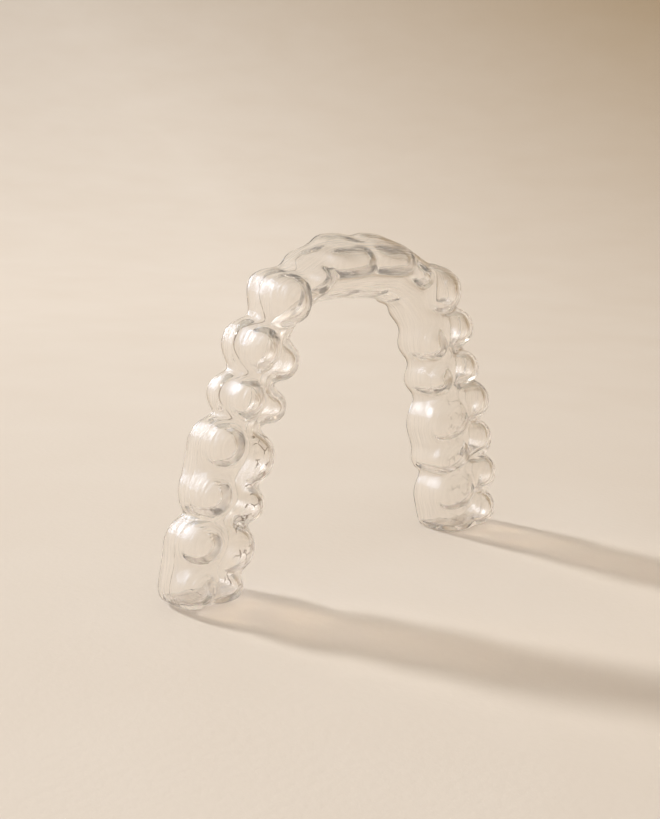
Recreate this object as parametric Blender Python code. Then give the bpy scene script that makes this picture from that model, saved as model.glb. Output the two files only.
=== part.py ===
"""Clear dental aligner for an upper arch: one thermoformed sheet with fourteen crown pockets.

The shell stands on its two distal ends. +Z runs from those ends to the front teeth, -Y is the closed
biting side, +Y is the open side that slips over the teeth, and X = 0 is the midline. Sizes are in
millimetres, and the mesh is made in metres. While the crowns are shaped, Y = 0 is the bite plane.
"""
import math
from dataclasses import dataclass

import bmesh
import bpy
import numpy as np

MM = 0.001

# The sheet
SHEET = 0.75                # thickness of the formed plastic
CREASE_OUTSIDE = 0.32       # softness of the valleys where two rounded forms meet, on the outer face
CREASE_INSIDE = 0.16        # the same on the inner face, which lay on the cast and is sharper
RIM_SWELL = 0.30            # how far the rounded cut edge stands past the trim line

# The arch: the line that the tooth centres follow, from the midline to the last molars
ARCH_HALF_WIDTH = 23.8      # midline to the centre line, at the distal ends
ARCH_DEPTH = 38.9           # distal ends to the centre line of the front teeth
ARCH_FULLNESS = 3.6         # a higher value gives a squarer front
ARCH_TAPER = 1.09           # a higher value keeps the legs parallel for longer

# Trim line, measured from the bite plane towards the gum. Each tooth states its cheek side.
TRIM_PALATE = 6.9           # palate side, at the middle of a tooth
SCALLOP_CHEEK = 0.6         # how far the cheek and lip side dips between two teeth
SCALLOP_PALATE = 0.4        # how far the palate side dips between two teeth

# The web between neighbouring crowns
WEB_CHEEK = 3.0             # centre line to the cheek side of the web
WEB_PALATE = 3.1            # centre line to the palate side of the web
WEB_TOP = 1.9               # how far the web lies under the bite plane
WEB_ROUND = 2.6             # height of the web's rounded edge
WEB_FLARE = 0.30            # growth of the web's palate reach for each millimetre over the spine

# Where the section's rays start
SPINE_HEIGHT = 3.4          # distance of the spine from the bite plane

# The feet: the flat spots that the shell stands on
FOOT_FLAT = 1.1             # depth that the flat spot takes off the round distal wall
FOOT_ROUND = 0.25           # size of the soft bend round the flat spot
FOOT_SETTLE = 0.15          # share of that bend which the floor takes off

# Mesh
ROWS_ROUND = 14             # faces over the rounded part of a section
ROWS_WALL = 2               # faces on each straight wall
ROWS_RIM = 2                # rows of points that round the cut edge
COLUMN_PITCH = 0.84         # width of a face along the arch
COLUMNS_END = 5             # faces along the arch that close each end
SPINE_INSET = 4.4           # how far the spine stops short of the distal end
WELD = 0.01                 # distance under which two mesh points become one
SEARCH_REACH = 9.5          # longest ray from the spine to the surface
SEARCH_STEPS = 24           # halvings of a ray


@dataclass(frozen=True)
class Tooth:
    """One crown.

    width runs along the arch. cheek and palate are its reaches from the arch's centre line, the first
    also called the lip side on a front tooth. trim is the height of its cheek-side trim line, and tuck
    draws a molar's back cusps towards its middle, as a share of its size.
    """
    name: str
    width: float
    cheek: float
    palate: float
    trim: float
    tuck: float = 0.0


CENTRAL = Tooth("central incisor", width=7.5, cheek=4.2, palate=4.5, trim=6.4)
LATERAL = Tooth("lateral incisor", width=3.8, cheek=2.9, palate=4.2, trim=5.8)
CANINE = Tooth("canine", width=6.2, cheek=4.8, palate=3.6, trim=5.4)
PREMOLAR_1 = Tooth("first premolar", width=6.1, cheek=5.0, palate=4.8, trim=5.2)
PREMOLAR_2 = Tooth("second premolar", width=5.4, cheek=4.7, palate=5.0, trim=5.2)
MOLAR_1 = Tooth("first molar", width=11.1, cheek=6.0, palate=5.7, trim=5.2)
MOLAR_2 = Tooth("second molar", width=10.8, cheek=6.6, palate=5.3, trim=5.2, tuck=0.06)
HALF_ARCH = (CENTRAL, LATERAL, CANINE, PREMOLAR_1, PREMOLAR_2, MOLAR_1, MOLAR_2)


@dataclass(frozen=True)
class Lobe:
    """A rounded column that stands along Y: a cusp, an incisal edge or the body of a crown.

    along and across place its axis from the tooth's centre, towards the midline and the cheek. Its tip
    is tip below the bite plane. The three radii are its half sizes along, across and down to the tip.
    A power above 2 squares its plan, and lean moves its axis towards the cheek as it nears the gum.
    """
    along: float
    across: float
    tip: float
    r_along: float
    r_across: float
    r_tip: float
    power: float = 2.0
    lean: float = 0.0


def incisor(tooth):
    """An incisor: a thin edge near the lip on a thicker root side."""
    width, depth = tooth.width, tooth.cheek + tooth.palate
    middle = (tooth.cheek - tooth.palate) / 2
    edge = Lobe(0, middle + 0.13 * depth, -0.5, 0.55 * width, 0.21 * depth, 3.4, 3.6, 0.14)
    root = Lobe(0.05 * width, middle, 2.6, 0.56 * width, 0.47 * depth, 4.2, 3.6)
    return edge, root


def canine(tooth):
    """A canine: one large pointed lobe with soft ridges on a rounder root side."""
    width, depth = tooth.width, tooth.cheek + tooth.palate
    middle = (tooth.cheek - tooth.palate) / 2
    point = Lobe(0, middle + 0.10 * depth, -0.9, 0.59 * width, 0.40 * depth, 4.2, 1.6, 0.05)
    root = Lobe(0, middle, 3.2, 0.52 * width, 0.48 * depth, 3.4, 2.1)
    return point, root


def premolar(tooth):
    """A premolar: a large round cusp at the cheek, a small one at the palate and a collar at the gum."""
    width, depth = tooth.width, tooth.cheek + tooth.palate
    middle = (tooth.cheek - tooth.palate) / 2
    cheek = Lobe(0, tooth.cheek - 0.315 * depth, -0.3, 0.45 * width, 0.258 * depth, 2.6)
    palate = Lobe(0, 0.22 * depth - tooth.palate, 0.5, 0.38 * width, 0.19 * depth, 2.0)
    collar = Lobe(0, middle + 0.02 * depth, 2.5, 0.52 * width, 0.47 * depth, 1.3, 2.4)
    return cheek, palate, collar


def molar(tooth):
    """A molar: two large cusps at the cheek and two lower, broader ones at the palate."""
    width, depth, tuck = tooth.width, tooth.cheek + tooth.palate, tooth.tuck
    middle = (tooth.cheek - tooth.palate) / 2
    front, back = 0.25 * width, (tuck / 2 - 0.275) * width
    palate_front, palate_back = 0.15 * width, (tuck - 0.34) * width
    return (
        Lobe(front, tooth.cheek - 0.245 * depth, -0.2, 0.26 * width, 0.245 * depth, 2.9),
        Lobe(back, tooth.cheek - (0.23 + tuck / 2) * depth, -0.1, 0.26 * width, 0.225 * depth, 2.9),
        Lobe(palate_front, 0.35 * depth - tooth.palate, 0.6, 0.29 * width, 0.35 * depth, 2.4, 2.2),
        Lobe(palate_back, (0.33 + tuck) * depth - tooth.palate, 0.7, 0.22 * width, 0.33 * depth, 2.4, 2.2),
        Lobe(0, middle, 1.9, 0.51 * width, 0.47 * depth, 2.2, 2.1),
    )


CROWN_FORMS = {
    CENTRAL: incisor,
    LATERAL: incisor,
    CANINE: canine,
    PREMOLAR_1: premolar,
    PREMOLAR_2: premolar,
    MOLAR_1: molar,
    MOLAR_2: molar,
}


class Arch:
    """The centre line in the XZ plane, read by its length from the midline (negative on -X)."""

    def __init__(self):
        """Sample the curve (x / width)^fullness + (z / depth)^taper = 1 and measure its length."""
        turn = np.linspace(0, math.pi / 2, 4001)
        self.x = ARCH_HALF_WIDTH * np.sin(turn) ** (2 / ARCH_FULLNESS)
        self.z = ARCH_DEPTH * np.cos(turn) ** (2 / ARCH_TAPER)
        steps = np.hypot(np.diff(self.x), np.diff(self.z))
        self.length = np.concatenate([[0.0], np.cumsum(steps)])

    def point(self, s):
        """Return x and z at the lengths s. Past its end the line runs straight on down."""
        far = np.abs(s)
        x = np.sign(s) * np.interp(far, self.length, self.x)
        z = np.interp(far, self.length, self.z) - np.maximum(far - self.length[-1], 0.0)
        return x, z

    def frame(self, s):
        """Return the point at s, the unit direction of growing s, and the outward unit normal."""
        probe = 0.4
        x0, z0 = self.point(s - probe)
        x1, z1 = self.point(s + probe)
        size = np.hypot(x1 - x0, z1 - z0)
        along = np.stack([(x1 - x0) / size, (z1 - z0) / size], -1)
        outward = np.stack([-along[..., 1], along[..., 0]], -1)
        return np.stack(self.point(s), -1), along, outward


def tooth_spans():
    """Return (tooth, start, end) for the half arch, in lengths from the midline."""
    spans = []
    start = 0.0
    for tooth in HALF_ARCH:
        spans.append((tooth, start, start + tooth.width))
        start += tooth.width
    return spans


class Crowns:
    """The field of the whole arch: below zero inside the form, above zero outside.

    inset draws every form in by that much, which gives the inner face of the sheet. crease is the
    softness of the valleys.
    """

    def __init__(self, arch, inset, crease):
        """Place every lobe of the fourteen crowns by its tooth's own frame."""
        self.inset = inset
        self.crease = crease
        self.lobes = []
        for tooth, start, end in tooth_spans():
            for side in (-1, 1):
                centre, along, outward = arch.frame(side * (start + end) / 2)
                for lobe in CROWN_FORMS[tooth](tooth):
                    self.lobes.append((lobe, centre, -side * along, outward))

    def lobe_distance(self, lobe, centre, mesial, outward, points):
        """Return about how far, in mm, the points lie outside one lobe."""
        flat = points[:, (0, 2)] - centre
        base = points[:, 1] - lobe.tip - lobe.r_tip
        r_along, r_across = lobe.r_along - self.inset, lobe.r_across - self.inset
        u = np.abs(flat @ mesial - lobe.along) / r_along
        v = np.abs(flat @ outward - lobe.across - lobe.lean * base) / r_across
        plan = (u ** lobe.power + v ** lobe.power) ** (1 / lobe.power)
        height = np.minimum(base, 0.0) / (lobe.r_tip - self.inset)
        return (np.hypot(plan, height) - 1) * min(r_along, r_across)

    def web_distance(self, points, across, beyond):
        """Return about how far, in mm, the points lie outside the web.

        across is measured from the centre line, and beyond past the end of the spine.
        """
        palate = WEB_PALATE + WEB_FLARE * np.maximum(points[:, 1] - SPINE_HEIGHT, 0.0)
        half = (WEB_CHEEK + palate) / 2 - self.inset
        height = np.minimum(points[:, 1] - WEB_TOP - WEB_ROUND, 0.0) / (WEB_ROUND - self.inset)
        plan = np.hypot(across - (WEB_CHEEK - palate) / 2, beyond) / half
        return (np.hypot(plan, height) - 1) * half

    def value(self, points, across, beyond):
        """Blend all the forms into one field with soft valleys."""
        total = np.exp(-np.clip(self.web_distance(points, across, beyond) / self.crease, -60, 60))
        for lobe, centre, mesial, outward in self.lobes:
            distance = self.lobe_distance(lobe, centre, mesial, outward, points)
            total += np.exp(-np.clip(distance / self.crease, -60, 60))
        return -self.crease * np.log(total)


def trim_levels(s, turn):
    """Return the cheek-side and palate-side trim heights at the lengths s and swing angles turn.

    The trim dips between two teeth, and its two sides run into each other round the distal end.
    """
    far = np.abs(s)
    middles = []
    heights = []
    cheek_dip = np.zeros_like(far)
    palate_dip = np.zeros_like(far)
    for tooth, start, end in tooth_spans():
        middle = (start + end) / 2
        middles.append(middle)
        heights.append(tooth.trim)
        phase = (far - start) / tooth.width
        scallop = (1 + np.cos(2 * math.pi * phase)) / 2
        inside = (far >= start) & (far < (middle if tooth is HALF_ARCH[-1] else end))
        cheek_dip = np.where(inside, SCALLOP_CHEEK * scallop, cheek_dip)
        palate_dip = np.where(inside, SCALLOP_PALATE * scallop, palate_dip)
    cheek = np.interp(far, middles, heights) - cheek_dip
    palate = TRIM_PALATE - palate_dip
    share = (1 - np.cos(2 * np.abs(turn))) / 4
    return cheek + (palate - cheek) * share, palate - (palate - cheek) * share


def column_lengths():
    """Return the lengths of the section planes along the spine, with one at each tooth's edges."""
    half = [np.zeros(1)]
    for tooth, start, end in tooth_spans():
        stop = end - SPINE_INSET if tooth is HALF_ARCH[-1] else end
        pairs = math.ceil((stop - start) / (2 * COLUMN_PITCH))
        half.append(np.linspace(start, stop, 2 * pairs + 1)[1:])
    half = np.concatenate(half)
    return np.concatenate([-half[:0:-1], half])


def section_planes():
    """Return the length s and the swing angle of every column, the turned ends included.

    A swing of zero is a plain cross-section. At each end the two halves of the section swing round the
    end of the spine, until they meet at a quarter turn.
    """
    lengths = column_lengths()
    swing = np.arange(1, COLUMNS_END + 1) * (math.pi / 2) / COLUMNS_END
    s = np.concatenate([np.full(COLUMNS_END, lengths[0]), lengths, np.full(COLUMNS_END, lengths[-1])])
    turn = np.concatenate([-swing[::-1], np.zeros(len(lengths)), swing])
    return s, turn


def section_rows():
    """Return each row's ray angle from the bite direction and its share of the wall's height."""
    wall = np.linspace(1, 0, ROWS_WALL + 1)[:-1]
    angles = np.linspace(-math.pi / 2, math.pi / 2, ROWS_ROUND + 1)
    edge = np.full(ROWS_WALL, math.pi / 2)
    return (np.concatenate([-edge, angles, edge]),
            np.concatenate([wall, np.zeros(ROWS_ROUND + 1), wall[::-1]]))


def section_rays(arch):
    """Return the rays of every section: starts, directions, and their across and beyond rates."""
    s, turn = section_planes()
    angles, rise = section_rows()
    centre, along, outward = arch.frame(s)
    cheek_trim, palate_trim = trim_levels(s, turn)
    cheek_side = angles < 0
    distal = np.sign(s)[:, None] * along
    cheek = outward * np.cos(turn)[:, None] + distal * np.sin(np.abs(turn))[:, None]
    palate = -outward * np.cos(turn)[:, None] + distal * np.sin(np.abs(turn))[:, None]
    plane = np.where(cheek_side[None, :, None], cheek[:, None, :], palate[:, None, :])
    trim = np.where(cheek_side[None, :], cheek_trim[:, None], palate_trim[:, None])
    height = SPINE_HEIGHT + rise[None, :] * (trim - SPINE_HEIGHT)
    start = np.stack([np.broadcast_to(centre[:, None, 0], height.shape), height,
                      np.broadcast_to(centre[:, None, 1], height.shape)], -1)
    sideways = np.sin(np.abs(angles))[None, :]
    ray = np.stack([plane[..., 0] * sideways, -np.broadcast_to(np.cos(angles), height.shape),
                    plane[..., 1] * sideways], -1)
    across = np.einsum("cri,ci->cr", plane * sideways[..., None], outward)
    beyond = sideways * np.sin(np.abs(turn))[:, None]
    return start, ray, across, beyond


def face_points(inset, crease):
    """Return one face of the sheet in mm as an array of columns by rows of points."""
    arch = Arch()
    crowns = Crowns(arch, inset, crease)
    start, ray, across, beyond = section_rays(arch)
    origin = start.reshape(-1, 3)
    direction = ray.reshape(-1, 3)
    across = across.reshape(-1)
    beyond = beyond.reshape(-1)
    inner = np.zeros(len(origin))
    outer = np.full(len(origin), SEARCH_REACH)
    for _ in range(SEARCH_STEPS):
        middle = (inner + outer) / 2
        inside = crowns.value(origin + direction * middle[:, None], across * middle, beyond * middle) < 0
        inner = np.where(inside, middle, inner)
        outer = np.where(inside, outer, middle)
    return (origin + direction * inner[:, None]).reshape(start.shape)


def rim(start, end):
    """Return the rows of points that round the cut edge from start to end."""
    angle = np.arange(1, ROWS_RIM + 1) * math.pi / (ROWS_RIM + 1)
    slide = (1 - np.cos(angle)) / 2
    rows = start[:, None] + (end - start)[:, None] * slide[None, :, None]
    rows[..., 1] += RIM_SWELL * np.sin(angle)[None, :]
    return rows


def rest_on(heights, floor):
    """Lift what lies under the floor up to it, with a soft bend where the flat spot begins."""
    over = heights - floor
    soft = (over + np.sqrt(over ** 2 + FOOT_ROUND ** 2)) / 2
    return floor + np.maximum(soft - FOOT_SETTLE * FOOT_ROUND, 0.0)


def section_loops():
    """Return all closed section loops in mm: outer face, palate rim, inner face, cheek rim."""
    outside = face_points(0.0, CREASE_OUTSIDE)
    inside = face_points(SHEET, CREASE_INSIDE)
    floor = outside[..., 2].min() + FOOT_FLAT
    outside[..., 2] = rest_on(outside[..., 2], floor)
    inside[..., 2] = rest_on(inside[..., 2], floor + SHEET)
    loops = np.concatenate([
        outside, rim(outside[:, -1], inside[:, -1]),
        inside[:, ::-1], rim(inside[:, 0], outside[:, 0]), outside[:, :1]], axis=1)
    loops[..., 2] -= floor
    loops[..., 1] -= (loops[..., 1].min() + loops[..., 1].max()) / 2
    return loops


def clear_plastic():
    """Glossy colourless thermoplastic sheet with a faint warm cast."""
    material = bpy.data.materials.new("clear_thermoformed_plastic")
    material.use_nodes = True
    shader = material.node_tree.nodes["Principled BSDF"]
    shader.inputs["Base Color"].default_value = (0.90, 0.87, 0.82, 1.0)
    shader.inputs["Metallic"].default_value = 0.0
    shader.inputs["Roughness"].default_value = 0.08
    shader.inputs["IOR"].default_value = 1.55
    shader.inputs["Transmission Weight"].default_value = 1.0
    return material


def aligner_shell():
    """Lay a grid over the section loops and weld it along the cheek rim and at the distal ends."""
    loops = section_loops()
    columns, rows = loops.shape[0] - 1, loops.shape[1] - 1
    bm = bmesh.new()
    bmesh.ops.create_grid(bm, x_segments=columns, y_segments=rows, size=1.0)
    for vert in bm.verts:
        column = round((vert.co.x + 1) / 2 * columns)
        row = round((1 - vert.co.y) / 2 * rows)
        vert.co = loops[column, row] * MM
    bmesh.ops.remove_doubles(bm, verts=bm.verts, dist=WELD * MM)
    for face in bm.faces:
        face.smooth = True
    mesh = bpy.data.meshes.new("aligner_shell")
    bm.to_mesh(mesh)
    bm.free()
    mesh.materials.append(clear_plastic())
    shell = bpy.data.objects.new("aligner_shell", mesh)
    bpy.context.scene.collection.objects.link(shell)
    return shell


def clear_scene():
    """Remove whatever the file opened with."""
    for thing in list(bpy.data.objects):
        bpy.data.objects.remove(thing, do_unlink=True)


def main():
    """Build the aligner."""
    clear_scene()
    aligner_shell()


main()
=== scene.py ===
"""Studio view of a clear dental aligner for an upper arch.

The aligner is one sheet of clear plastic, formed hot over a cast of fourteen teeth and trimmed
near the gum. It stands on its two distal ends. +Z runs from those ends to the front teeth, -Y is
the closed biting side, +Y is the open side that slips over the teeth, and X = 0 is the midline.
Sizes are in millimetres unless a name says otherwise, and the meshes are made in metres.
"""
from __future__ import annotations

import logging
import math
from dataclasses import dataclass
from dataclasses import field
from enum import Enum

import bmesh
import bpy
import numpy as np
from mathutils import Matrix
from mathutils import Vector


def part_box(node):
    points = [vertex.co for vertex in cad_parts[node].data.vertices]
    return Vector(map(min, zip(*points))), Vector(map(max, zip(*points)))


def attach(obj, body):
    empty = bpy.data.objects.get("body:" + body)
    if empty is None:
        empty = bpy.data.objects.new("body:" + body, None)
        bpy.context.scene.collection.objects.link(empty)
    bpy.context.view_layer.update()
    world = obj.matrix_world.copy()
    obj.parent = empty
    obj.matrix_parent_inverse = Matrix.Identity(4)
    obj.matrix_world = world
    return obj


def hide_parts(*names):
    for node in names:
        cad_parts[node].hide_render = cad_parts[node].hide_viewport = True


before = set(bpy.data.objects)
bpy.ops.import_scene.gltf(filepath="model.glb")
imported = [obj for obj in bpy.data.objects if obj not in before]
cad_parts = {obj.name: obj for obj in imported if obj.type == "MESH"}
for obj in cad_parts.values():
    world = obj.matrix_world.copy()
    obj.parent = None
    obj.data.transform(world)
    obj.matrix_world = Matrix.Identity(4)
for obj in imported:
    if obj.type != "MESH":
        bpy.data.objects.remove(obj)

LOG = logging.getLogger("aligner")
MM = 0.001


# The crowns


class CrownKind(Enum):
    """The four forms of crown in an arch."""

    INCISOR = "incisor"
    CANINE = "canine"
    PREMOLAR = "premolar"
    MOLAR = "molar"


@dataclass(frozen=True)
class Lobe:
    """A rounded column that stands along Y: a cusp, an incisal edge or the body of a crown.

    along and across place its axis from the tooth's centre, towards the midline and the cheek. tip
    is the height of its tip over the bite plane, along +Y. The three radii are its half sizes
    along, across and down to the tip. A power above 2 squares its plan, and lean moves its axis
    towards the cheek as it nears the gum.
    """

    along: float
    across: float
    tip: float
    r_along: float
    r_across: float
    r_tip: float
    power: float = 2.0
    lean: float = 0.0


@dataclass(frozen=True)
class Tooth:
    """One crown.

    width runs along the arch. cheek and palate are its reaches from the arch's centre line, where
    cheek means the lip side on a front tooth. trim is the height of its cheek-side trim line, and
    margin says how clearly the line of the gum shows in the sheet. tuck draws a molar's back cusps
    towards its middle, as a share of its size.
    """

    kind: CrownKind
    width: float
    cheek: float
    palate: float
    trim: float
    margin: float
    tuck: float = 0.0

    @property
    def depth(self) -> float:
        """Reach from the cheek side to the palate side."""
        return self.cheek + self.palate

    @property
    def middle(self) -> float:
        """Distance of the crown's own middle from the arch's centre line."""
        return (self.cheek - self.palate) / 2

    def lobes(self) -> list[Lobe]:
        """Return the rounded forms that make this crown."""
        forms = {
            CrownKind.INCISOR: self.incisor,
            CrownKind.CANINE: self.canine,
            CrownKind.PREMOLAR: self.premolar,
            CrownKind.MOLAR: self.molar,
        }
        return forms[self.kind]()

    def incisor(self) -> list[Lobe]:
        """A thin edge near the lip on a thicker root side."""
        w, d = self.width, self.depth
        return [
            Lobe(0, self.middle + 0.13 * d, -0.5, 0.55 * w, 0.21 * d, 3.4, 3.6, 0.14),
            Lobe(0.05 * w, self.middle, 2.6, 0.56 * w, 0.47 * d, 4.2, 3.6),
        ]

    def canine(self) -> list[Lobe]:
        """One large pointed lobe with a small heel on the palate side."""
        w, d = self.width, self.depth
        return [
            Lobe(0, self.middle + 0.10 * d, -0.9, 0.59 * w, 0.40 * d, 4.2, 1.6, 0.05),
            Lobe(0, self.middle, 3.2, 0.52 * w, 0.48 * d, 3.4, 2.1),
        ]

    def premolar(self) -> list[Lobe]:
        """A large round cusp at the cheek and a small one at the palate."""
        w, d = self.width, self.depth
        return [
            Lobe(0, self.cheek - 0.315 * d, -0.3, 0.45 * w, 0.258 * d, 2.6),
            Lobe(0, 0.22 * d - self.palate, 0.5, 0.38 * w, 0.19 * d, 2.0),
            Lobe(0, self.middle + 0.02 * d, 2.5, 0.52 * w, 0.47 * d, 1.3, 2.4),
        ]

    def molar(self) -> list[Lobe]:
        """Two large cusps at the cheek and two lower ones at the palate."""
        w, d = self.width, self.depth
        tuck = self.tuck
        front, back = 0.25 * w, (tuck / 2 - 0.275) * w
        palate_front, palate_back = 0.15 * w, (tuck - 0.34) * w
        return [
            Lobe(front, self.cheek - 0.245 * d, -0.2, 0.26 * w, 0.245 * d, 2.9),
            Lobe(back, self.cheek - (0.23 + tuck / 2) * d, -0.1, 0.26 * w, 0.225 * d, 2.9),
            Lobe(palate_front, 0.35 * d - self.palate, 0.6, 0.29 * w, 0.35 * d, 2.4, 2.2),
            Lobe(palate_back, (0.33 + tuck) * d - self.palate, 0.7, 0.22 * w, 0.33 * d, 2.4, 2.2),
            Lobe(0, self.middle, 1.9, 0.51 * w, 0.47 * d, 2.2, 2.1),
        ]


HALF_ARCH = (
    Tooth(CrownKind.INCISOR, width=7.5, cheek=4.2, palate=4.5, trim=6.4, margin=0.3),
    Tooth(CrownKind.INCISOR, width=3.8, cheek=2.9, palate=4.2, trim=5.8, margin=0.3),
    Tooth(CrownKind.CANINE, width=6.2, cheek=4.8, palate=3.6, trim=5.4, margin=1.0),
    Tooth(CrownKind.PREMOLAR, width=6.1, cheek=5.0, palate=4.8, trim=5.2, margin=1.0),
    Tooth(CrownKind.PREMOLAR, width=5.4, cheek=4.7, palate=5.0, trim=5.2, margin=1.0),
    Tooth(CrownKind.MOLAR, width=11.1, cheek=6.0, palate=5.7, trim=5.2, margin=0.15),
    Tooth(CrownKind.MOLAR, width=10.8, cheek=6.6, palate=5.3, trim=5.2, margin=0.4, tuck=0.06),
)


@dataclass(frozen=True)
class Seat:
    """Where one tooth sits on the half arch, in lengths from the midline."""

    tooth: Tooth
    start: float
    end: float

    @property
    def middle(self) -> float:
        """Length at the tooth's middle."""
        return (self.start + self.end) / 2


def seats() -> list[Seat]:
    """Return the seats of the half arch, from the midline outwards."""
    row = []
    start = 0.0
    for tooth in HALF_ARCH:
        row.append(Seat(tooth, start, start + tooth.width))
        start += tooth.width
    return row


@dataclass
class Arch:
    """The centre line in the XZ plane, read by its length from the midline (negative on -X).

    probe is how far on either side of a point the line is read to get its direction there.
    """

    half_width: float = 23.8
    depth: float = 38.9
    fullness: float = 3.6
    taper: float = 1.09
    samples: int = 4001
    probe: float = 0.4

    def __post_init__(self) -> None:
        """Sample the curve (x / width)^fullness + (z / depth)^taper = 1 and measure its length."""
        turn = np.linspace(0, math.pi / 2, self.samples)
        self.x = self.half_width * np.sin(turn) ** (2 / self.fullness)
        self.z = self.depth * np.cos(turn) ** (2 / self.taper)
        steps = np.hypot(np.diff(self.x), np.diff(self.z))
        self.length = np.concatenate([[0.0], np.cumsum(steps)])

    def point(self, s: np.ndarray | float) -> tuple[np.ndarray, np.ndarray]:
        """Return x and z at the lengths s. Past its end the line runs straight on down."""
        far = np.abs(s)
        x = np.sign(s) * np.interp(far, self.length, self.x)
        z = np.interp(far, self.length, self.z) - np.maximum(far - self.length[-1], 0.0)
        return x, z

    def frame(self, s: np.ndarray | float) -> tuple[np.ndarray, np.ndarray, np.ndarray]:
        """Return the point at s, the unit direction of growing s, and the outward unit normal."""
        x0, z0 = self.point(s - self.probe)
        x1, z1 = self.point(s + self.probe)
        size = np.hypot(x1 - x0, z1 - z0)
        along = np.stack([(x1 - x0) / size, (z1 - z0) / size], -1)
        outward = np.stack([-along[..., 1], along[..., 0]], -1)
        return np.stack(self.point(s), -1), along, outward


@dataclass
class CrownField:
    """The form of all the crowns as one field: below zero inside the form, above zero outside.

    inset draws the whole form in by that much, which gives the inner face of the sheet. crease is
    the softness of the valleys where two rounded forms meet. far_off caps a distance, in creases,
    so that its exponential stays within range.
    """

    arch: Arch
    inset: float
    crease: float
    web_cheek: float = 3.0
    web_palate: float = 3.1
    web_top: float = 1.9
    web_round: float = 2.6
    web_flare: float = 0.30
    web_flare_from: float = 3.4
    far_off: float = 60.0

    def __post_init__(self) -> None:
        """Place every lobe of the fourteen crowns by its tooth's own frame."""
        self.lobes = []
        for seat in seats():
            for side in (-1, 1):
                centre, along, outward = self.arch.frame(side * seat.middle)
                for lobe in seat.tooth.lobes():
                    self.lobes.append((lobe, centre, -side * along, outward))

    def lobe_distance(self, lobe: Lobe, centre: np.ndarray, mesial: np.ndarray,
                      outward: np.ndarray, points: np.ndarray) -> np.ndarray:
        """Return about how far the points lie outside one lobe."""
        flat = points[:, (0, 2)] - centre
        height = np.minimum(points[:, 1] - lobe.tip - lobe.r_tip, 0.0)
        lean = lobe.lean * (points[:, 1] - lobe.tip - lobe.r_tip)
        r_along, r_across = lobe.r_along - self.inset, lobe.r_across - self.inset
        u = np.abs(flat @ mesial - lobe.along) / r_along
        v = np.abs(flat @ outward - lobe.across - lean) / r_across
        plan = (u ** lobe.power + v ** lobe.power) ** (1 / lobe.power)
        return (np.hypot(plan, height / (lobe.r_tip - self.inset)) - 1) * min(r_along, r_across)

    def web_distance(self, points: np.ndarray, across: np.ndarray,
                     beyond: np.ndarray) -> np.ndarray:
        """Return about how far the points lie outside the web that joins the crowns.

        Args:
            points: points in millimetres.
            across: their distances from the centre line.
            beyond: their distances past the end of the spine.
        """
        flare = self.web_flare * np.maximum(points[:, 1] - self.web_flare_from, 0.0)
        palate = self.web_palate + flare
        half = (self.web_cheek + palate) / 2 - self.inset
        height = np.minimum(points[:, 1] - self.web_top - self.web_round, 0.0)
        plan = np.hypot(across - (self.web_cheek - palate) / 2, beyond) / half
        return (np.hypot(plan, height / (self.web_round - self.inset)) - 1) * half

    def value(self, points: np.ndarray, across: np.ndarray, beyond: np.ndarray) -> np.ndarray:
        """Blend all the forms into one field with soft valleys."""
        far = self.far_off
        total = np.exp(-np.clip(self.web_distance(points, across, beyond) / self.crease, -far, far))
        for lobe, centre, mesial, outward in self.lobes:
            distance = self.lobe_distance(lobe, centre, mesial, outward, points)
            total += np.exp(-np.clip(distance / self.crease, -far, far))
        return -self.crease * np.log(total)


# Shader helpers


def linear(code: str) -> tuple[float, float, float, float]:
    """Turn an sRGB hex colour such as "#E8DCC8" into linear RGBA."""
    values = [int(code[i:i + 2], 16) / 255 for i in (1, 3, 5)]
    return (*[v / 12.92 if v <= 0.04045 else ((v + 0.055) / 1.055) ** 2.4 for v in values], 1.0)


def add_node(tree: bpy.types.NodeTree, kind: str, inputs: dict | None = None,
             **settings: object) -> bpy.types.Node:
    """Add one shader node.

    Args:
        tree: the node tree that gets the node.
        kind: Blender's name for the type of node.
        inputs: for each input's name or number, a value or the output socket that feeds it.
        settings: the node's own properties.

    Returns:
        The new node.
    """
    node = tree.nodes.new(kind)
    for name, value in settings.items():
        setattr(node, name, value)
    for name, value in (inputs or {}).items():
        if isinstance(value, bpy.types.NodeSocket):
            tree.links.new(value, node.inputs[name])
        else:
            node.inputs[name].default_value = value
    return node


def empty_material(name: str) -> bpy.types.Material:
    """Return a new material with an empty node tree."""
    material = bpy.data.materials.new(name)
    material.use_nodes = True
    material.node_tree.nodes.clear()
    return material


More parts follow.
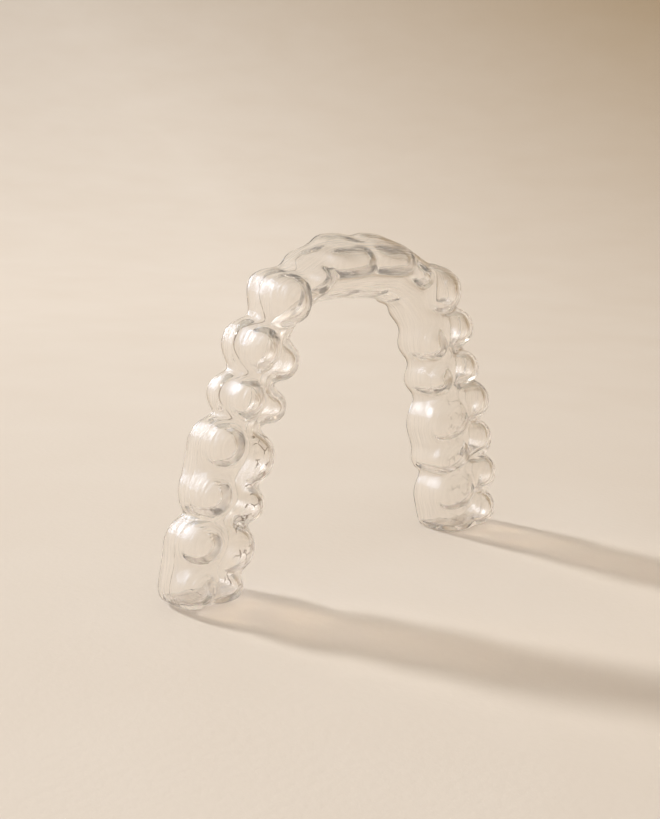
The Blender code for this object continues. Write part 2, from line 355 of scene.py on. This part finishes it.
@dataclass(frozen=True)
class FormedSheet:
    """Clear PETG aligner sheet, formed hot over a printed cast that leaves its layers in the gloss.

    The eye sees the backdrop through it with little change, thin dark rims, and white highlights
    that break into fine streaks. The gloss has PETG's own index. The body has a lower one, because
    at full strength its curved walls show darker crescents than such a thin sheet does.
    """

    tint: str = "#FEFCF9"
    fold_shade: str = "#75665A"
    # Painted shade laid on the folds, specks and gum line
    shadow_face: str = "#A59888"
    shadow_edge: str = "#140F0A"
    ior: float = 1.24
    body_shine: float = 0.25
    roughness: float = 0.06
    clearness: float = 0.92
    gloss_ior: float = 1.57
    gloss_roughness: float = 0.30
    layer_pitch: float = 0.24
    layer_run: float = 5.0
    layer_relief: float = 0.3
    layer_in_body: float = 0.05
    groove: tuple[float, float] = (0.44, 0.53)
    gum_width: float = 0.085
    gum_thinnest: float = 0.1
    gum_break_size: float = 0.9
    gum_breaks: tuple[float, float] = (0.36, 0.5)
    wrinkle_size: float = 1.5
    wrinkle_width: float = 0.11
    wrinkle_core: float = 0.3
    wrinkle_relief: float = 0.04
    bend_size: float = 1.6
    bend_reach: float = 1.2
    patch_size: float = 1.3
    patches: tuple[float, float] = (0.50, 0.53)
    speck_spacing: float = 1.3
    speck_radius: float = 0.13
    speck_core: float = 0.5

    def layers(self, tree: bpy.types.NodeTree, place: bpy.types.NodeSocket) -> bpy.types.NodeSocket:
        """Return the height of the cast's layers.

        They are planes of equal Y, a quarter of a millimetre apart, and break a highlight into fine
        upright streaks. Real layers are a tenth of a millimetre, too fine to show at this distance.
        """
        run, pitch = 1 / (self.layer_run * MM), 1 / (self.layer_pitch * MM)
        layered = add_node(tree, "ShaderNodeMapping", {"Vector": place, "Scale": (run, pitch, run)})
        return add_node(tree, "ShaderNodeTexNoise", {
            "Vector": layered.outputs["Vector"], "Scale": 1.0, "Detail": 1.0}).outputs["Fac"]

    def wrinkles(self, tree: bpy.types.NodeTree,
                 place: bpy.types.NodeSocket) -> bpy.types.NodeSocket:
        """Return 0 on short curved wrinkles and specks of the molars' palate cusps, else 1."""
        bend = add_node(tree, "ShaderNodeTexNoise", {
            "Vector": place, "Scale": 1 / (self.bend_size * MM)})
        bent = add_node(tree, "ShaderNodeVectorMath", {
            0: bend.outputs["Color"], 1: [self.bend_reach * MM] * 3, 2: place},
            operation="MULTIPLY_ADD")
        cells = add_node(tree, "ShaderNodeTexVoronoi", {
            "Vector": bent.outputs["Vector"], "Scale": 1 / (self.wrinkle_size * MM)},
            feature="DISTANCE_TO_EDGE")
        line = add_node(tree, "ShaderNodeMapRange", {
            "Value": cells.outputs["Distance"],
            "From Min": self.wrinkle_core * self.wrinkle_width / self.wrinkle_size,
            "From Max": self.wrinkle_width / self.wrinkle_size}, interpolation_type="SMOOTHSTEP")
        speck_cells = add_node(tree, "ShaderNodeTexVoronoi", {
            "Vector": place, "Scale": 1 / (self.speck_spacing * MM)})
        speck = add_node(tree, "ShaderNodeMapRange", {
            "Value": speck_cells.outputs["Distance"],
            "From Min": self.speck_core * self.speck_radius / self.speck_spacing,
            "From Max": self.speck_radius / self.speck_spacing})
        folds = add_node(tree, "ShaderNodeMath", {
            0: line.outputs["Result"], 1: speck.outputs["Result"]}, operation="MULTIPLY")
        # Only some stretches of the cells' edges carry a wrinkle
        patch = add_node(tree, "ShaderNodeTexNoise", {
            "Vector": place, "Scale": 1 / (self.patch_size * MM)})
        where = add_node(tree, "ShaderNodeMapRange", {
            "Value": patch.outputs["Fac"], "From Min": self.patches[0],
            "From Max": self.patches[1]})
        side = add_node(tree, "ShaderNodeAttribute", attribute_name="molar_palate")
        amount = add_node(tree, "ShaderNodeMath", {
            0: where.outputs["Result"], 1: side.outputs["Fac"]}, operation="MULTIPLY")
        return add_node(tree, "ShaderNodeMix", {
            "Factor": amount.outputs["Value"], "A": 1.0, "B": folds.outputs["Value"]},
            data_type="FLOAT").outputs["Result"]

    def gum_line(self, tree: bpy.types.NodeTree,
                 place: bpy.types.NodeSocket) -> bpy.types.NodeSocket:
        """Return 0 on the fine broken line where the sheet steps over the gum, else 1."""
        above = add_node(tree, "ShaderNodeAttribute", attribute_name="above_gum")
        distance = add_node(tree, "ShaderNodeMath", {0: above.outputs["Fac"]}, operation="ABSOLUTE")
        breaks = add_node(tree, "ShaderNodeTexNoise", {
            "Vector": place, "Scale": 1 / (self.gum_break_size * MM)})
        width = add_node(tree, "ShaderNodeMapRange", {
            "Value": breaks.outputs["Fac"], "From Min": self.gum_breaks[0],
            "From Max": self.gum_breaks[1], "To Min": self.gum_thinnest * self.gum_width,
            "To Max": self.gum_width})
        return add_node(tree, "ShaderNodeMapRange", {
            "Value": distance.outputs["Value"], "From Min": 0.0,
            "From Max": width.outputs["Result"]}, interpolation_type="SMOOTHSTEP").outputs["Result"]

    def build(self) -> bpy.types.Material:
        """Make the material."""
        material = empty_material("clear_formed_petg")
        tree = material.node_tree
        place = add_node(tree, "ShaderNodeTexCoord").outputs["Object"]
        layers = self.layers(tree, place)
        folds = add_node(tree, "ShaderNodeMath", {
            0: self.wrinkles(tree, place), 1: self.gum_line(tree, place)},
            operation="MULTIPLY").outputs["Value"]
        creased = add_node(tree, "ShaderNodeBump", {
            "Height": folds, "Strength": 1.0, "Distance": self.wrinkle_relief * MM})
        # Painted shade: the base colour is darkened on the folds, specks and gum line, for the
        # light that their steep sides turn away
        colour = add_node(tree, "ShaderNodeMix", {
            "Factor": folds, "A": linear(self.fold_shade), "B": linear(self.tint)}, data_type="RGBA")
        # The grooves between two layers are duller, so that a highlight breaks up along them
        shine = add_node(tree, "ShaderNodeMapRange", {
            "Value": layers, "From Min": self.groove[0], "From Max": self.groove[1]})
        # The gloss is a skin of the outer side only: light inside the sheet doesn't meet it again
        inside = add_node(tree, "ShaderNodeNewGeometry").outputs["Backfacing"]
        shine = add_node(tree, "ShaderNodeMix", {
            "Factor": inside, "A": shine.outputs["Result"], "B": 0.0}, data_type="FLOAT")
        clear = add_node(tree, "ShaderNodeBump", {
            "Height": layers, "Strength": self.layer_in_body, "Distance": self.layer_relief * MM,
            "Normal": creased.outputs["Normal"]})
        gloss = add_node(tree, "ShaderNodeBump", {
            "Height": layers, "Strength": 1.0, "Distance": self.layer_relief * MM,
            "Normal": creased.outputs["Normal"]})
        shader = add_node(tree, "ShaderNodeBsdfPrincipled", {
            "Base Color": colour.outputs["Result"], "Roughness": self.roughness, "IOR": self.ior,
            "Specular IOR Level": self.body_shine, "Transmission Weight": self.clearness,
            "Normal": clear.outputs["Normal"], "Coat Weight": shine.outputs["Result"],
            "Coat Roughness": self.gloss_roughness, "Coat IOR": self.gloss_ior,
            "Coat Normal": gloss.outputs["Normal"]})
        # Light that reaches the floor through the sheet: most passes a face, little passes an edge
        facing = add_node(tree, "ShaderNodeLayerWeight", {"Blend": 0.5})
        shade = add_node(tree, "ShaderNodeMix", {
            "Factor": facing.outputs["Facing"], "A": linear(self.shadow_face),
            "B": linear(self.shadow_edge)}, data_type="RGBA")
        return self.finish(material, shader, shade)

    def finish(self, material: bpy.types.Material, shader: bpy.types.Node,
               shade: bpy.types.Node) -> bpy.types.Material:
        """Join the plastic and its see-through shadow to the output."""
        tree = material.node_tree
        clear = add_node(tree, "ShaderNodeBsdfTransparent", {"Color": shade.outputs["Result"]})
        path = add_node(tree, "ShaderNodeLightPath")
        mix = add_node(tree, "ShaderNodeMixShader", {
            0: path.outputs["Is Shadow Ray"], 1: shader.outputs["BSDF"], 2: clear.outputs["BSDF"]})
        add_node(tree, "ShaderNodeOutputMaterial", {"Surface": mix.outputs["Shader"]})
        return material


@dataclass(frozen=True)
class BackdropPaper:
    """Seamless backdrop paper: matt and warm, with a faint cloudy tone and a fine tooth."""

    light: str = "#DDD6CE"
    dark: str = "#D7CEC4"
    # Painted shade that the paper turns to as it rises and goes right
    falloff_shade: str = "#8E7650"
    fade_from: float = -17.0
    fade_to: float = 443.0
    fade_most: float = 0.8
    fade_tilt: float = 0.618
    cloud: float = 30.0
    tooth: float = 0.9
    tooth_relief: float = 0.05
    tooth_strength: float = 0.6
    roughness: float = 0.9

    def build(self) -> bpy.types.Material:
        """Make the material."""
        material = empty_material("seamless_backdrop_paper")
        tree = material.node_tree
        place = add_node(tree, "ShaderNodeTexCoord").outputs["Object"]
        clouds = add_node(tree, "ShaderNodeTexNoise", {
            "Vector": place, "Scale": 1 / (self.cloud * MM), "Detail": 3.0, "Roughness": 0.5})
        tone = add_node(tree, "ShaderNodeMix", {
            "Factor": clouds.outputs["Fac"], "A": linear(self.dark), "B": linear(self.light)},
            data_type="RGBA")
        # Painted shade: the paper is darkened as it sweeps up behind the object, and more so
        # towards the right, where less light falls
        height = add_node(tree, "ShaderNodeVectorMath", {
            0: place, 1: (self.fade_tilt, -self.fade_tilt, 1.0)}, operation="DOT_PRODUCT")
        climb = add_node(tree, "ShaderNodeMapRange", {
            "Value": height.outputs["Value"], "From Min": self.fade_from * MM,
            "From Max": self.fade_to * MM, "To Max": self.fade_most})
        faded = add_node(tree, "ShaderNodeMix", {
            "Factor": climb.outputs["Result"], "A": tone.outputs["Result"], "B": linear(self.falloff_shade)},
            data_type="RGBA")
        tooth = add_node(tree, "ShaderNodeTexNoise", {
            "Vector": place, "Scale": 1 / (self.tooth * MM), "Detail": 2.0})
        bump = add_node(tree, "ShaderNodeBump", {
            "Height": tooth.outputs["Fac"], "Strength": self.tooth_strength,
            "Distance": self.tooth_relief * MM})
        shader = add_node(tree, "ShaderNodeBsdfPrincipled", {
            "Base Color": faded.outputs["Result"], "Roughness": self.roughness,
            "Specular IOR Level": 0.0, "Normal": bump.outputs["Normal"]})
        add_node(tree, "ShaderNodeOutputMaterial", {"Surface": shader.outputs["BSDF"]})
        return material


# The aligner


@dataclass
class AlignerShell:
    """The whole shell: one closed skin over the crown field, outside, round the rim and inside.

    pitch is the spacing of the section planes. rows_round, rows_wall and rows_rim are the rows
    round the bite, up each wall and over the cut edge. The search values steer the rays that find
    each face. Angles are in radians.
    """

    arch: Arch = field(default_factory=Arch)
    sheet: float = 0.75
    outer_crease: float = 0.32
    inner_crease: float = 0.30
    smoothings: int = 3
    trim_palate: float = 6.9
    dip_cheek: float = 0.6
    dip_palate: float = 0.4
    spine_height: float = 3.4
    spine_inset: float = 4.4
    foot_flat: float = 1.1
    foot_round: float = 0.25
    foot_settle: float = 0.15
    pitch: float = 0.26
    end_columns: int = 14
    rows_round: int = 58
    rows_wall: int = 16
    rows_rim: int = 5
    rim_swell: float = 0.30
    rim_fullness: float = 0.6
    search_reach: float = 9.5
    search_steps: int = 20
    gum_from_trim: float = 1.75
    gum_dip: float = 1.1
    gum_peak: float = 1.5
    gum_step: float = 0.13
    gum_soft: float = 0.16
    gum_from_angle: float = 0.3
    no_gum: float = 9.0
    marks_from: float = 0.05
    marks_to: float = 1.2
    marks_fade: float = 0.2
    far_marks: float = 0.4
    weld: float = 0.004

    def column_lengths(self) -> np.ndarray:
        """Return the lengths of the section planes along the spine, with one at each tooth edge."""
        half = [np.zeros(1)]
        row = seats()
        for seat in row:
            stop = seat.end - self.spine_inset if seat is row[-1] else seat.end
            pairs = math.ceil((stop - seat.start) / (2 * self.pitch))
            half.append(np.linspace(seat.start, stop, 2 * pairs + 1)[1:])
        joined = np.concatenate(half)
        return np.concatenate([-joined[:0:-1], joined])

    def planes(self) -> tuple[np.ndarray, np.ndarray]:
        """Return the length and the swing angle of every column.

        A swing of zero is a plain cross-section. At each end the two halves of the section swing
        round the end of the spine, until they meet at a quarter turn.
        """
        lengths = self.column_lengths()
        count = self.end_columns
        swing = np.arange(1, count + 1) * (math.pi / 2) / count
        s = np.concatenate([np.full(count, lengths[0]), lengths, np.full(count, lengths[-1])])
        return s, np.concatenate([-swing[::-1], np.zeros(len(lengths)), swing])

    def rows(self) -> tuple[np.ndarray, np.ndarray]:
        """Return each row's ray angle from the bite direction and its share of the wall height."""
        wall = np.linspace(0, 1, self.rows_wall + 1)[1:]
        angles = np.linspace(-math.pi / 2, math.pi / 2, self.rows_round + 1)
        quarter = math.pi / 2
        return (np.concatenate([np.full(len(wall), -quarter), angles, np.full(len(wall), quarter)]),
                np.concatenate([wall[::-1], np.zeros(len(angles)), wall]))

    def trims(self, s: np.ndarray, turn: np.ndarray) -> tuple[np.ndarray, np.ndarray]:
        """Return the cheek-side and palate-side trim heights of every column.

        The trim dips between two teeth, and the two sides run into each other round the distal end.
        """
        far = np.abs(s)
        row = seats()
        cheek_dip = np.zeros_like(far)
        palate_dip = np.zeros_like(far)
        for seat in row:
            wave = (1 + np.cos(2 * math.pi * (far - seat.start) / seat.tooth.width)) / 2
            inside = (far >= seat.start) & (far < (seat.middle if seat is row[-1] else seat.end))
            cheek_dip = np.where(inside, self.dip_cheek * wave, cheek_dip)
            palate_dip = np.where(inside, self.dip_palate * wave, palate_dip)
        heights = np.interp(far, [seat.middle for seat in row], [seat.tooth.trim for seat in row])
        cheek, palate = heights - cheek_dip, self.trim_palate - palate_dip
        share = (1 - np.cos(2 * np.abs(turn))) / 4
        return cheek + (palate - cheek) * share, palate - (palate - cheek) * share

    def gum_line(self, s: np.ndarray) -> tuple[np.ndarray, np.ndarray]:
        """Return the height of the gum's line on the cheek side and how clearly it shows."""
        far = np.abs(s)
        row = seats()
        dip = np.zeros_like(far)
        for seat in row:
            wave = (1 + np.cos(2 * math.pi * (far - seat.start) / seat.tooth.width)) / 2
            dip = np.where((far >= seat.start) & (far < seat.end), wave ** self.gum_peak, dip)
        middles = [seat.middle for seat in row]
        height = np.interp(far, middles, [seat.tooth.trim for seat in row])
        clarity = np.interp(far, middles, [seat.tooth.margin for seat in row])
        return height - self.gum_from_trim - self.gum_dip * dip, clarity

    def cast(self, inset: float, crease: float) -> np.ndarray:
        """Find one face of the sheet.

        Args:
            inset: how far the face lies inside the outer form.
            crease: softness of its valleys.

        Returns:
            Points in millimetres, as columns by rows by three.
        """
        crowns = CrownField(self.arch, inset, crease)
        s, turn = self.planes()
        angles, rise = self.rows()
        centre, along, outward = self.arch.frame(s)
        cheek_trim, palate_trim = self.trims(s, turn)
        distal = np.sign(s)[:, None] * along
        cos_turn, sin_turn = np.cos(turn)[:, None], np.sin(np.abs(turn))[:, None]
        cheek = outward * cos_turn + distal * sin_turn
        palate = -outward * cos_turn + distal * sin_turn
        on_cheek = angles < 0
        plane = np.where(on_cheek[None, :, None], cheek[:, None, :], palate[:, None, :])
        trim = np.where(on_cheek[None, :], cheek_trim[:, None], palate_trim[:, None])
        height = self.spine_height + rise[None, :] * (trim - self.spine_height)
        start = np.stack([np.broadcast_to(centre[:, None, 0], height.shape), height,
                          np.broadcast_to(centre[:, None, 1], height.shape)], -1)
        sideways = np.sin(np.abs(angles))[None, :]
        ray = np.stack([plane[..., 0] * sideways, -np.broadcast_to(np.cos(angles), height.shape),
                        plane[..., 1] * sideways], -1)
        across = np.einsum("cri,ci->cr", plane * sideways[..., None], outward).reshape(-1)
        beyond = (sideways * sin_turn).reshape(-1)
        origin, ray = start.reshape(-1, 3), ray.reshape(-1, 3)
        line, clarity = self.gum_line(s)
        line = np.broadcast_to(line[:, None], height.shape).reshape(-1)
        step = (self.gum_step * clarity[:, None] * on_cheek[None, :]).reshape(-1)
        inner = np.zeros(len(origin))
        outer = np.full(len(origin), self.search_reach)
        for _ in range(self.search_steps):
            middle = (inner + outer) / 2
            points = origin + ray * middle[:, None]
            rise_over = np.clip((points[:, 1] - line) / self.gum_soft, 0, 1)
            swell = step * rise_over ** 2 * (3 - 2 * rise_over)
            inside = crowns.value(points, across * middle, beyond * middle) < swell
            inner = np.where(inside, middle, inner)
            outer = np.where(inside, outer, middle)
        return (origin + ray * inner[:, None]).reshape(len(s), len(angles), 3)

    def rim(self, start: np.ndarray, end: np.ndarray) -> np.ndarray:
        """Return the rows that round the cut edge from the points start to the points end."""
        angle = np.arange(1, self.rows_rim + 1) * math.pi / (self.rows_rim + 1)
        slide = (1 - np.sign(np.cos(angle)) * np.abs(np.cos(angle)) ** self.rim_fullness) / 2
        rows = start[:, None] + (end - start)[:, None] * slide[None, :, None]
        rows[..., 1] += self.rim_swell * np.sin(angle)[None, :] ** self.rim_fullness
        return rows

    def rest_on(self, heights: np.ndarray, floor: float) -> np.ndarray:
        """Lift what lies under the floor up to it, with a soft bend where the flat spot begins."""
        over = heights - floor
        soft = (over + np.sqrt(over ** 2 + self.foot_round ** 2)) / 2
        return floor + np.maximum(soft - self.foot_round * self.foot_settle, 0.0)

    def section_loops(self) -> np.ndarray:
        """Return all columns of closed section loops: outside, palate rim, inside, cheek rim."""
        outside = self.cast(0.0, self.outer_crease)
        inside = self.cast(self.sheet, self.inner_crease)
        floor = outside[..., 2].min() + self.foot_flat
        outside[..., 2] = self.rest_on(outside[..., 2], floor)
        inside[..., 2] = self.rest_on(inside[..., 2], floor + self.sheet)
        loops = np.concatenate([
            outside, self.rim(outside[:, -1], inside[:, -1]),
            inside[:, ::-1], self.rim(inside[:, 0], outside[:, 0]), outside[:, :1]], axis=1)
        loops[..., 2] -= floor
        return loops

    def marks(self, loops: np.ndarray) -> dict[str, np.ndarray]:
        """Return what the material reads at each mesh point.

        molar_palate says how far a point lies on the palate side of a molar's outer face, from 0
        to 1. above_gum is its height over the line of the gum in millimetres, larger where that
        line is faint, and only on the outer face of the cheek side.

        Args:
            loops: all columns of section loops.
        """
        s, _ = self.planes()
        angles, _ = self.rows()
        outside = len(angles)
        first = seats()[-2].start
        on_molar = np.clip(np.abs(s) - first, 0, 1) * np.where(s < 0, 1.0, self.far_marks)
        on_palate = np.clip((angles - self.marks_from) / self.marks_fade, 0, 1) * \
            np.clip((self.marks_to - angles) / self.marks_fade, 0, 1)
        palate = np.zeros(loops.shape[:2])
        palate[:, :outside] = on_molar[:, None] * on_palate[None, :]
        line, clarity = self.gum_line(s)
        above = np.full(loops.shape[:2], self.no_gum)
        height = (loops[:, :outside, 1] - line[:, None]) / clarity[:, None]
        above[:, :outside] = np.where(angles[None, :] < -self.gum_from_angle, height, self.no_gum)
        return {"molar_palate": palate, "above_gum": above}

    def build(self) -> bpy.types.Object:
        """Make the shell's mesh, with its depth centred on the solid that it stands for."""
        loops = self.section_loops()
        marks = self.marks(loops)
        low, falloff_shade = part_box("aligner_shell")
        middle = (loops[..., 1].min() + loops[..., 1].max()) / 2
        loops[..., 1] += (low.y + falloff_shade.y) / 2 / MM - middle
        columns, rows = loops.shape[0] - 1, loops.shape[1] - 1
        bm = bmesh.new()
        bmesh.ops.create_grid(bm, x_segments=columns, y_segments=rows, size=1.0)
        layers = {name: bm.verts.layers.float.new(name) for name in marks}
        for vert in bm.verts:
            column = round((vert.co.x + 1) / 2 * columns)
            row = round((1 - vert.co.y) / 2 * rows)
            vert.co = loops[column, row] * MM
            for name, layer in layers.items():
                vert[layer] = marks[name][column, row]
        bmesh.ops.remove_doubles(bm, verts=bm.verts, dist=self.weld * MM)
        for _ in range(self.smoothings):
            bmesh.ops.smooth_vert(bm, verts=bm.verts, factor=0.5, use_axis_x=True, use_axis_y=True,
                                  use_axis_z=True)
        for face in bm.faces:
            face.smooth = True
        mesh = bpy.data.meshes.new("aligner_sheet")
        bm.to_mesh(mesh)
        bm.free()
        shell = bpy.data.objects.new("aligner_sheet", mesh)
        bpy.context.scene.collection.objects.link(shell)
        mesh.materials.append(FormedSheet().build())
        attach(shell, "root")
        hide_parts("aligner_shell")
        return shell


# The studio


@dataclass
class Studio:
    """Seamless round cove, a soft key from the left and behind, a softbox and a warm fill.

    Bearings are in degrees from +X and heights in degrees over the floor.
    """

    floor_radius: float = 260.0
    floor_gap: float = 0.04
    hub_radius: float = 5.2
    cove_radius: float = 1000.0
    cove_steps: int = 12
    cove_sides: int = 96
    sweep: float = math.radians(68)
    aim_height: float = 20.0
    key_bearing: float = 103.5
    key_height: float = 27.0
    key_distance: float = 2600.0
    key_size: float = 358.0
    key_watts: float = 64.0
    key_colour: str = "#FFFCF8"
    box_bearing: float = 138.0
    box_height: float = 44.0
    box_distance: float = 800.0
    box_size: float = 1040.0
    box_watts: float = 20.5
    box_colour: str = "#D9E6FF"
    fill_colour: str = "#FFF8EF"
    fill_strength: float = 0.74
    ceiling_colour: str = "#F3E6D2"
    ceiling_strength: float = 0.62

    def cove(self) -> bpy.types.Object:
        """Spin the floor, its sweep and the wall round the object."""
        bm = bmesh.new()
        line = [bm.verts.new((self.hub_radius * MM, 0, -self.floor_gap * MM))]
        profile = [(self.floor_radius, 0.0)]
        for step in range(1, self.cove_steps + 1):
            turn = step * self.sweep / self.cove_steps
            profile.append((self.floor_radius + self.cove_radius * math.sin(turn),
                            self.cove_radius * (1 - math.cos(turn))))
        edges = []
        for radius, height in profile:
            vert = bm.verts.new((radius * MM, 0, (height - self.floor_gap) * MM))
            edges.append(bm.edges.new((line[-1], vert)))
            line.append(vert)
        bmesh.ops.spin(bm, geom=line + edges, cent=(0, 0, 0), axis=(0, 0, 1), angle=2 * math.pi,
                       steps=self.cove_sides, use_merge=True, use_normal_flip=False,
                       use_duplicate=False)
        hub = [edge for edge in bm.edges if edge.is_boundary and edge.verts[0].co.z < MM]
        bmesh.ops.contextual_create(bm, geom=hub)
        bmesh.ops.recalc_face_normals(bm, faces=bm.faces)
        for face in bm.faces:
            face.smooth = True
        mesh = bpy.data.meshes.new("backdrop")
        bm.to_mesh(mesh)
        bm.free()
        cove = bpy.data.objects.new("backdrop", mesh)
        bpy.context.scene.collection.objects.link(cove)
        mesh.materials.append(BackdropPaper().build())
        # The key hangs far off, for light as even as daylight, and the cove lets it through
        cove.visible_shadow = False
        return cove

    def lamp(self, name: str, bearing: float, height: float, distance: float, size: float,
             watts: float, colour: str) -> bpy.types.Object:
        """Hang a round soft lamp and aim it at the middle of the arch.

        Args:
            name: name of the lamp.
            bearing: direction to it on the floor, in degrees from +X.
            height: its angle over the floor, in degrees.
            distance: how far off it hangs, in millimetres.
            size: its width in millimetres.
            watts: its power.
            colour: the colour of its light.
        """
        bearing, height = math.radians(bearing), math.radians(height)
        aim = Vector((0, 0, self.aim_height * MM))
        away = Vector((math.cos(bearing) * math.cos(height), math.sin(bearing) * math.cos(height),
                       math.sin(height)))
        lamp = bpy.data.lights.new(name, "AREA")
        lamp.shape = "DISK"
        lamp.size = size * MM
        lamp.energy = watts
        lamp.color = linear(colour)[:3]
        light = bpy.data.objects.new(name, lamp)
        light.matrix_world = Matrix.Translation(aim + away * distance * MM) @ \
            away.to_track_quat("Z", "Y").to_matrix().to_4x4()
        light.visible_camera = False
        bpy.context.scene.collection.objects.link(light)
        return light

    def lights(self) -> None:
        """Hang the key, and a large cooler softbox that shows in glossy reflections only."""
        self.lamp("key", self.key_bearing, self.key_height, self.key_distance, self.key_size,
                  self.key_watts, self.key_colour)
        softbox = self.lamp("softbox", self.box_bearing, self.box_height, self.box_distance,
                            self.box_size, self.box_watts, self.box_colour)
        softbox.visible_diffuse = False
        softbox.visible_transmission = False

    def fill(self) -> None:
        """Light the room evenly from all sides. The ceiling that shows in the gloss is darker."""
        world = bpy.data.worlds.new("room")
        world.use_nodes = True
        tree = world.node_tree
        tree.nodes.clear()
        light = add_node(tree, "ShaderNodeBackground", {
            "Color": linear(self.fill_colour), "Strength": self.fill_strength})
        ceiling = add_node(tree, "ShaderNodeBackground", {
            "Color": linear(self.ceiling_colour), "Strength": self.ceiling_strength})
        path = add_node(tree, "ShaderNodeLightPath")
        mix = add_node(tree, "ShaderNodeMixShader", {
            0: path.outputs["Is Glossy Ray"], 1: light.outputs["Background"],
            2: ceiling.outputs["Background"]})
        add_node(tree, "ShaderNodeOutputWorld", {"Surface": mix.outputs["Shader"]})
        bpy.context.scene.world = world

    def build(self) -> None:
        """Set up the whole studio, with plain tones so that white highlights stay white."""
        bpy.context.scene.view_settings.view_transform = "Standard"
        self.cove()
        self.lights()
        self.fill()


@dataclass
class PhotoCamera:
    """The camera at the photograph's angle. yaw turns from +Y towards +X, and pitch looks down."""

    place: tuple[float, float, float] = (-110.7, -98.8, 50.5)
    yaw: float = 46.97
    pitch: float = 11.70
    roll: float = 2.89
    focal_pixels: float = 1192.0
    frame_pixels: int = 660
    sensor: float = 36.0
    nearest: float = 5.0

    def build(self) -> bpy.types.Object:
        """Make the camera and give it to the scene."""
        yaw, pitch, roll = (math.radians(v) for v in (self.yaw, self.pitch, self.roll))
        ahead = Vector((math.sin(yaw) * math.cos(pitch), math.cos(yaw) * math.cos(pitch),
                        -math.sin(pitch)))
        level = Vector((math.cos(yaw), -math.sin(yaw), 0))
        above = level.cross(ahead)
        right = level * math.cos(roll) + above * math.sin(roll)
        up = above * math.cos(roll) - level * math.sin(roll)
        data = bpy.data.cameras.new("camera")
        data.sensor_fit = "HORIZONTAL"
        data.sensor_width = self.sensor
        data.lens = self.focal_pixels * self.sensor / self.frame_pixels
        data.clip_start = self.nearest * MM
        camera = bpy.data.objects.new("camera", data)
        camera.matrix_world = Matrix.Translation(Vector(self.place) * MM) @ \
            Matrix((right, up, -ahead)).transposed().to_4x4()
        bpy.context.scene.collection.objects.link(camera)
        bpy.context.scene.camera = camera
        return camera


def main() -> None:
    """Build the aligner, the studio and the camera."""
    logging.basicConfig(level=logging.INFO)
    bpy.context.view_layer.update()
    shell = AlignerShell().build()
    LOG.info("%s: %d faces", shell.name, len(shell.data.polygons))
    Studio().build()
    PhotoCamera().build()


if __name__ == "__main__":
    main()
